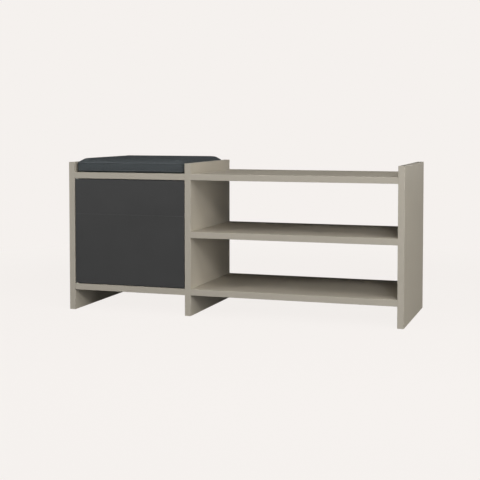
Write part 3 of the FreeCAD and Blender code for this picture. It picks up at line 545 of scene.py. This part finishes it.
class PaintBoards(bpy.types.Operator):
    """Give the boards, their edge bands and the cabinet back their finishes"""

    bl_idname = "bench.paint_boards"
    bl_label = "Boards"

    def execute(self, context):
        finishes = context.scene.bench_finishes
        boards = [name for name in NODES if name.endswith(("_upright", "_shelf"))]
        boards += ["cabinet_top", "cabinet_floor"]
        bands = [f"{name}_edging" for name in boards]
        paint(boards, melamine(
            "taupe_melamine", finishes.board, BOARD_ROUGHNESS, finishes.chipboard))
        paint(bands, edge_band("taupe_abs_edging", finishes.edging, BAND_ROUGHNESS))
        paint(["cabinet_back"], hardboard_back(
            "printed_hardboard", finishes.board, finishes.hardboard))
        return {"FINISHED"}


class PaintDoor(bpy.types.Operator):
    """Give the door and its edge bands their finishes"""

    bl_idname = "bench.paint_door"
    bl_label = "Door"

    def execute(self, context):
        finishes = context.scene.bench_finishes
        low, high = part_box("door_edging")
        score = low.y + SCORE_WIDTH, high.z - (high.z - low.z) / 3 + SCORE_WIDTH / 2
        paint(["door_panel"], melamine(
            "anthracite_melamine", finishes.door, BOARD_ROUGHNESS, finishes.chipboard, score))
        paint(["door_edging"], edge_band(
            "anthracite_abs_edging", finishes.door, BAND_ROUGHNESS))
        return {"FINISHED"}


class PaintFittings(bpy.types.Operator):
    """Give the hinges, the push latch and the fasteners their finishes"""

    bl_idname = "bench.paint_fittings"
    bl_label = "Fittings"

    def execute(self, context):
        plated = ["lower_pivot_plate", "lower_pivot_pin", "upper_pivot_plate", "upper_pivot_pin"]
        plated += ["pivot_plate_screws", "latch_screws", "strike_screws", "strike_plate"]
        plated += ["cam_bolts_cabinet", "cam_bolts_bay"]
        paint(plated, plated_metal(
            "zinc_plated_steel", linear("C9CDD2"), roughness=0.3, grain_mm=2.0, bump_mm=0.01))
        paint(["cam_locks_cabinet", "cam_locks_bay"], plated_metal(
            "die_cast_zinc", linear("A3A5A8"), roughness=0.5, grain_mm=0.8, bump_mm=0.03))
        paint(["latch_spring"], plated_metal(
            "drawn_spring_steel", linear("8C8F94"), roughness=0.3, grain_mm=0.6, bump_mm=0.005))
        paint(["latch_magnet"], plated_metal(
            "nickel_plated_magnet", linear("D8D4CB"), roughness=0.22, grain_mm=1.5, bump_mm=0.005))
        paint(["lower_pivot_bush", "upper_pivot_bush"], moulded_plastic(
            "natural_nylon", linear("E5E2D6"), roughness=0.4, grain_mm=0.5, subsurface=0.15))
        paint(["latch_housing", "latch_plunger"], moulded_plastic(
            "grey_abs", linear("85878A"), roughness=0.45, grain_mm=0.4, subsurface=0.0))
        paint(["dowels_cabinet", "dowels_bay"], beech("turned_beech", linear("D9B68C")))
        return {"FINISHED"}


class MakeCushion(bpy.types.Operator):
    """Make the boxed seat cushion and fill it by a cloth simulation"""

    bl_idname = "bench.make_cushion"
    bl_label = "Cushion"

    def execute(self, context):
        sizes = context.scene.bench_cushion
        cushion = self.sewn_box(sizes)
        apply_modifier(
            cushion, "REMESH", mode="VOXEL", voxel_size=sizes.voxel, use_smooth_shade=True)
        start = read_points(cushion)
        self.fill(context.scene, cushion, sizes)
        self.hold(cushion, start, sizes)
        apply_modifier(cushion, "SUBSURF", levels=1, render_levels=1)
        bpy.ops.object.shade_smooth()
        finishes = context.scene.bench_finishes
        cloth = upholstery(
            "melange_upholstery", finishes.fabric, finishes.fabric_shade,
            thread_mm=2.4, bump_mm=0.25)
        finish_piece(cushion, "cushion", cloth)
        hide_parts("cushion_cover", "cushion_foam")
        return {"FINISHED"}

    def sewn_box(self, sizes):
        """The cover as it is cut: boxed sides, a sloping border and a flat middle."""
        shift = Vector((sizes.side_shift, 0, 0))
        low = COVER_LOW + Vector((sizes.side_bulge, sizes.side_bulge, 0)) + shift
        high = COVER_HIGH - Vector((sizes.side_bulge, sizes.side_bulge, 0)) + shift
        high.z = low.z + sizes.edge_height
        deselect_all()
        bpy.ops.mesh.primitive_cube_add(size=1, location=(low + high) / 2, scale=high - low)
        cushion = new_piece("seat_cushion")
        select_edges(
            cushion, lambda first, second: abs(first.z - second.z) > sizes.edge_height / 2)
        bpy.ops.mesh.bevel(
            offset=sizes.corner_radius, segments=CORNER_SEGMENTS, affect="EDGES")
        select_top_face(cushion)
        bpy.ops.mesh.inset(thickness=sizes.slope_width, depth=0)
        bpy.ops.transform.translate(value=(0, 0, sizes.slope_rise))
        for level, radius in ((low.z, sizes.base_radius), (high.z, sizes.rim_radius)):
            select_edges(
                cushion, lambda *ends: max(abs(end.z - level) for end in ends) < SAME_LEVEL)
            bpy.ops.mesh.bevel(offset=radius, segments=RIM_SEGMENTS, affect="EDGES")
        bpy.ops.object.mode_set(mode="OBJECT")
        return cushion

    def fill(self, scene, cushion, sizes):
        """Blow the cover up like a stuffed pad, with no gravity."""
        make_active(cushion)
        bpy.ops.object.modifier_add(type="CLOTH")
        cloth = cushion.modifiers[-1]
        cloth.settings.use_pressure = True
        cloth.settings.uniform_pressure_force = sizes.pressure
        cloth.settings.effector_weights.gravity = 0
        cloth.collision_settings.use_collision = False
        for number in range(1, sizes.frames + 1):
            scene.frame_set(number)
        bpy.ops.object.modifier_apply(modifier=cloth.name)
        scene.frame_set(1)

    def hold(self, cushion, start, sizes):
        """Limit how far the cover moved; keep it on its board and between the uprights."""
        moved = read_points(cushion) - start
        sideways = np.linalg.norm(moved[:, :2], axis=1)
        moved[:, :2] *= np.minimum(1, sizes.side_bulge / np.maximum(sideways, TINY))[:, None]
        beside = start[:, :2].min(axis=0), start[:, :2].max(axis=0)
        inside = np.minimum(start[:, :2] - beside[0], beside[1] - start[:, :2]).min(axis=1)
        free = 1 - (1 - np.clip(inside / sizes.slope_width, 0, 1)) ** 2
        moved[:, 2] = np.clip(moved[:, 2], 0, RIM_LIFT + free * (sizes.crown - RIM_LIFT))
        points = start + moved
        points[:, 2] = np.maximum(points[:, 2], COVER_LOW.z)
        write_points(cushion, points)


class MakeSeams(bpy.types.Operator):
    """Sew the upper and lower edges of the cushion"""

    bl_idname = "bench.make_seams"
    bl_label = "Cushion seams"

    def execute(self, context):
        sizes = context.scene.bench_cushion
        finishes = context.scene.bench_finishes
        cushion = bpy.data.objects["seat_cushion"]
        # the sewn edges are the cushion's own cloth, painted a tenth paler: a painted highlight
        # along each seam
        yarn = upholstery(
            "sewn_edge_painted_highlight_cloth", scaled(finishes.fabric, 1.1), finishes.fabric,
            thread_mm=1.2, bump_mm=0.1)
        for name, level in (("upper", COVER_LOW.z + sizes.edge_height - sizes.rim_radius / 2),
                            ("lower", COVER_LOW.z + sizes.base_radius)):
            seam = self.outline(f"cushion_{name}_seam", level, sizes, cushion)
            self.draw_in(cushion, read_points(seam), sizes)
            self.thicken(seam, sizes.seam_radius)
            finish_piece(seam, "cushion", yarn)
        return {"FINISHED"}

    def outline(self, name, level, sizes, cushion):
        """The line of the seam, laid on the cover."""
        low, high = COVER_LOW, COVER_HIGH
        deselect_all()
        bpy.ops.mesh.primitive_plane_add(
            size=1,
            location=((low.x + high.x) / 2 + sizes.side_shift, (low.y + high.y) / 2, level))
        bpy.context.object.scale = (high.x - low.x, high.y - low.y, 1)
        seam = new_piece(name)
        select_edges(seam, lambda first, second: True)
        bpy.ops.mesh.bevel(
            offset=sizes.corner_radius, segments=CORNER_SEGMENTS, affect="VERTICES")
        bpy.ops.mesh.select_all(action="SELECT")
        bpy.ops.mesh.delete(type="ONLY_FACE")
        select_edges(seam, lambda first, second: (first - second).length > 2 * sizes.corner_radius)
        bpy.ops.mesh.subdivide(number_cuts=SEAM_CUTS)
        bpy.ops.object.mode_set(mode="OBJECT")
        apply_modifier(seam, "SHRINKWRAP", target=cushion, wrap_method="NEAREST_SURFACEPOINT")
        return seam

    def draw_in(self, cushion, line, sizes):
        """Pull the cover in along the seam."""
        tree = KDTree(len(line))
        for number, point in enumerate(line):
            tree.insert(point, number)
        tree.balance()
        shape = bmesh.new()
        shape.from_mesh(cushion.data)
        for vertex in shape.verts:
            distance = tree.find(vertex.co)[2]
            if distance < sizes.seam_reach:
                share = 1 - distance / sizes.seam_reach
                vertex.co -= vertex.normal * sizes.seam_depth * share * share
        shape.to_mesh(cushion.data)
        shape.free()

    def thicken(self, seam, radius):
        """Turn the line into a closed round strand."""
        make_active(seam)
        bpy.ops.object.convert(target="CURVE")
        seam.data.bevel_depth = radius
        seam.data.bevel_resolution = SEAM_ROUNDNESS
        bpy.ops.object.convert(target="MESH")
        bpy.ops.object.shade_smooth()


class MakeStudio(bpy.types.Operator):
    """Set up the floor, the lights, the surroundings and the camera"""

    bl_idname = "bench.make_studio"
    bl_label = "Studio"

    def execute(self, context):
        studio = context.scene.bench_studio
        context.scene.view_settings.view_transform = "Standard"
        self.floor(studio)
        self.surroundings(context.scene, studio)
        middle = (CAD_BOX[0] + CAD_BOX[1]) / 2
        for name, power, place, size in LIGHTS:
            self.area_light(name, power * studio.light_level, Vector(place), size, middle)
        self.level_light("rear_light", studio.rear_strength, REAR_LIGHT_PLACE)
        self.level_light("left_side_light", studio.left_strength, LEFT_SIDE_LIGHT_PLACE)
        self.camera(context.scene, studio)
        return {"FINISHED"}

    def floor(self, studio):
        """Paper floor that glows like the backdrop and takes a faint shadow near the bench."""
        deselect_all()
        bpy.ops.mesh.primitive_plane_add(size=FLOOR_SIZE)
        floor = new_piece("studio_floor")
        material, tree, place = new_material("studio_paper")
        distance = add_node(tree, "VectorMath", {0: place}, operation="LENGTH")
        near = add_node(
            tree, "MapRange",
            {"Value": distance.outputs["Value"],
             "From Min": SHADOW_FADE[0], "From Max": SHADOW_FADE[1],
             "To Min": studio.shadow, "To Max": 0.0},
            interpolation_type="SMOOTHSTEP")
        paper = add_node(
            tree, "Mix",
            {"Factor": near.outputs["Result"], MIX_A: (0, 0, 0, 1), MIX_B: studio.backdrop},
            data_type="RGBA")
        taken = add_node(
            tree, "Math", {0: near.outputs["Result"], 1: FLOOR_LIGHT}, operation="MULTIPLY")
        left = add_node(tree, "Math", {0: 1.0, 1: taken.outputs["Value"]}, operation="SUBTRACT")
        lit = add_node(tree, "BsdfDiffuse", {"Color": paper.outputs[MIX_RESULT]})
        glow = add_node(
            tree, "Emission", {"Color": studio.backdrop, "Strength": left.outputs["Value"]})
        both = add_node(tree, "AddShader", {0: lit.outputs[0], 1: glow.outputs[0]})
        add_node(tree, "OutputMaterial", {"Surface": both.outputs[0]})
        floor.data.materials.append(material)
        floor.visible_diffuse = False
        floor.visible_glossy = False

    def surroundings(self, scene, studio):
        """A pale backdrop to look at, and a much weaker light from all round."""
        scene.world = bpy.data.worlds.new("studio")
        scene.world.use_nodes = True
        tree = scene.world.node_tree
        tree.nodes.clear()
        seen = add_node(tree, "Background", {"Color": studio.backdrop, "Strength": 1.0})
        ambient = add_node(tree, "Background", {"Color": (1, 1, 1, 1), "Strength": studio.ambient})
        path = add_node(tree, "LightPath")
        either = add_node(
            tree, "MixShader",
            {"Fac": path.outputs["Is Camera Ray"], 1: ambient.outputs[0], 2: seen.outputs[0]})
        add_node(tree, "OutputWorld", {"Surface": either.outputs[0]})

    def area_light(self, name, power, place, size, aim):
        data = bpy.data.lights.new(name, "AREA")
        data.shape = "DISK"
        data.size = size
        data.energy = power
        light = bpy.data.objects.new(name, data)
        light.location = place
        light.rotation_euler = (aim - place).to_track_quat("-Z", "Y").to_euler()
        light.visible_camera = False
        bpy.context.scene.collection.objects.link(light)

    def level_light(self, name, strength, place):
        """A level light that reaches only what faces its side."""
        data = bpy.data.lights.new(name, "SUN")
        data.energy = strength
        data.angle = LEVEL_LIGHT_ANGLE
        light = bpy.data.objects.new(name, data)
        light.location = place
        level_aim = Vector((-place.x, -place.y, 0))
        light.rotation_euler = level_aim.to_track_quat("-Z", "Y").to_euler()
        bpy.context.scene.collection.objects.link(light)

    def camera(self, scene, studio):
        data = bpy.data.cameras.new("camera")
        data.lens = studio.lens
        data.sensor_width = SENSOR_WIDTH_MM
        data.shift_x, data.shift_y = studio.shift
        camera = bpy.data.objects.new("camera", data)
        camera.location = studio.camera_place
        camera.rotation_euler = (math.radians(90) - studio.camera_tilt, 0, studio.camera_turn)
        scene.collection.objects.link(camera)
        bpy.context.scene.camera = camera


OPERATORS = (PaintBoards, PaintDoor, PaintFittings, MakeCushion, MakeSeams, MakeStudio)


class BenchPanel(bpy.types.Panel):
    """Lists the pieces of the bench and their settings"""

    bl_idname = "VIEW3D_PT_bench"
    bl_label = "Bench"
    bl_space_type = "VIEW_3D"
    bl_region_type = "UI"
    bl_category = "Bench"

    def draw(self, context):
        for operator in OPERATORS:
            self.layout.operator(operator.bl_idname)
        scene = context.scene
        for group in (scene.bench_finishes, scene.bench_cushion, scene.bench_studio):
            box = self.layout.box()
            for name in group.__annotations__:
                box.prop(group, name)


GROUPS = (BenchFinishes, BenchCushion, BenchStudio)


def register():
    for kind in (*GROUPS, *OPERATORS, BenchPanel):
        bpy.utils.register_class(kind)
    bpy.types.Scene.bench_finishes = bpy.props.PointerProperty(type=BenchFinishes)
    bpy.types.Scene.bench_cushion = bpy.props.PointerProperty(type=BenchCushion)
    bpy.types.Scene.bench_studio = bpy.props.PointerProperty(type=BenchStudio)


def unregister():
    del bpy.types.Scene.bench_studio
    del bpy.types.Scene.bench_cushion
    del bpy.types.Scene.bench_finishes
    for kind in reversed((*GROUPS, *OPERATORS, BenchPanel)):
        bpy.utils.unregister_class(kind)


def main():
    register()
    bpy.ops.bench.paint_boards()
    bpy.ops.bench.paint_door()
    bpy.ops.bench.paint_fittings()
    bpy.ops.bench.make_cushion()
    bpy.ops.bench.make_seams()
    bpy.ops.bench.make_studio()


if __name__ == "__main__":
    main()
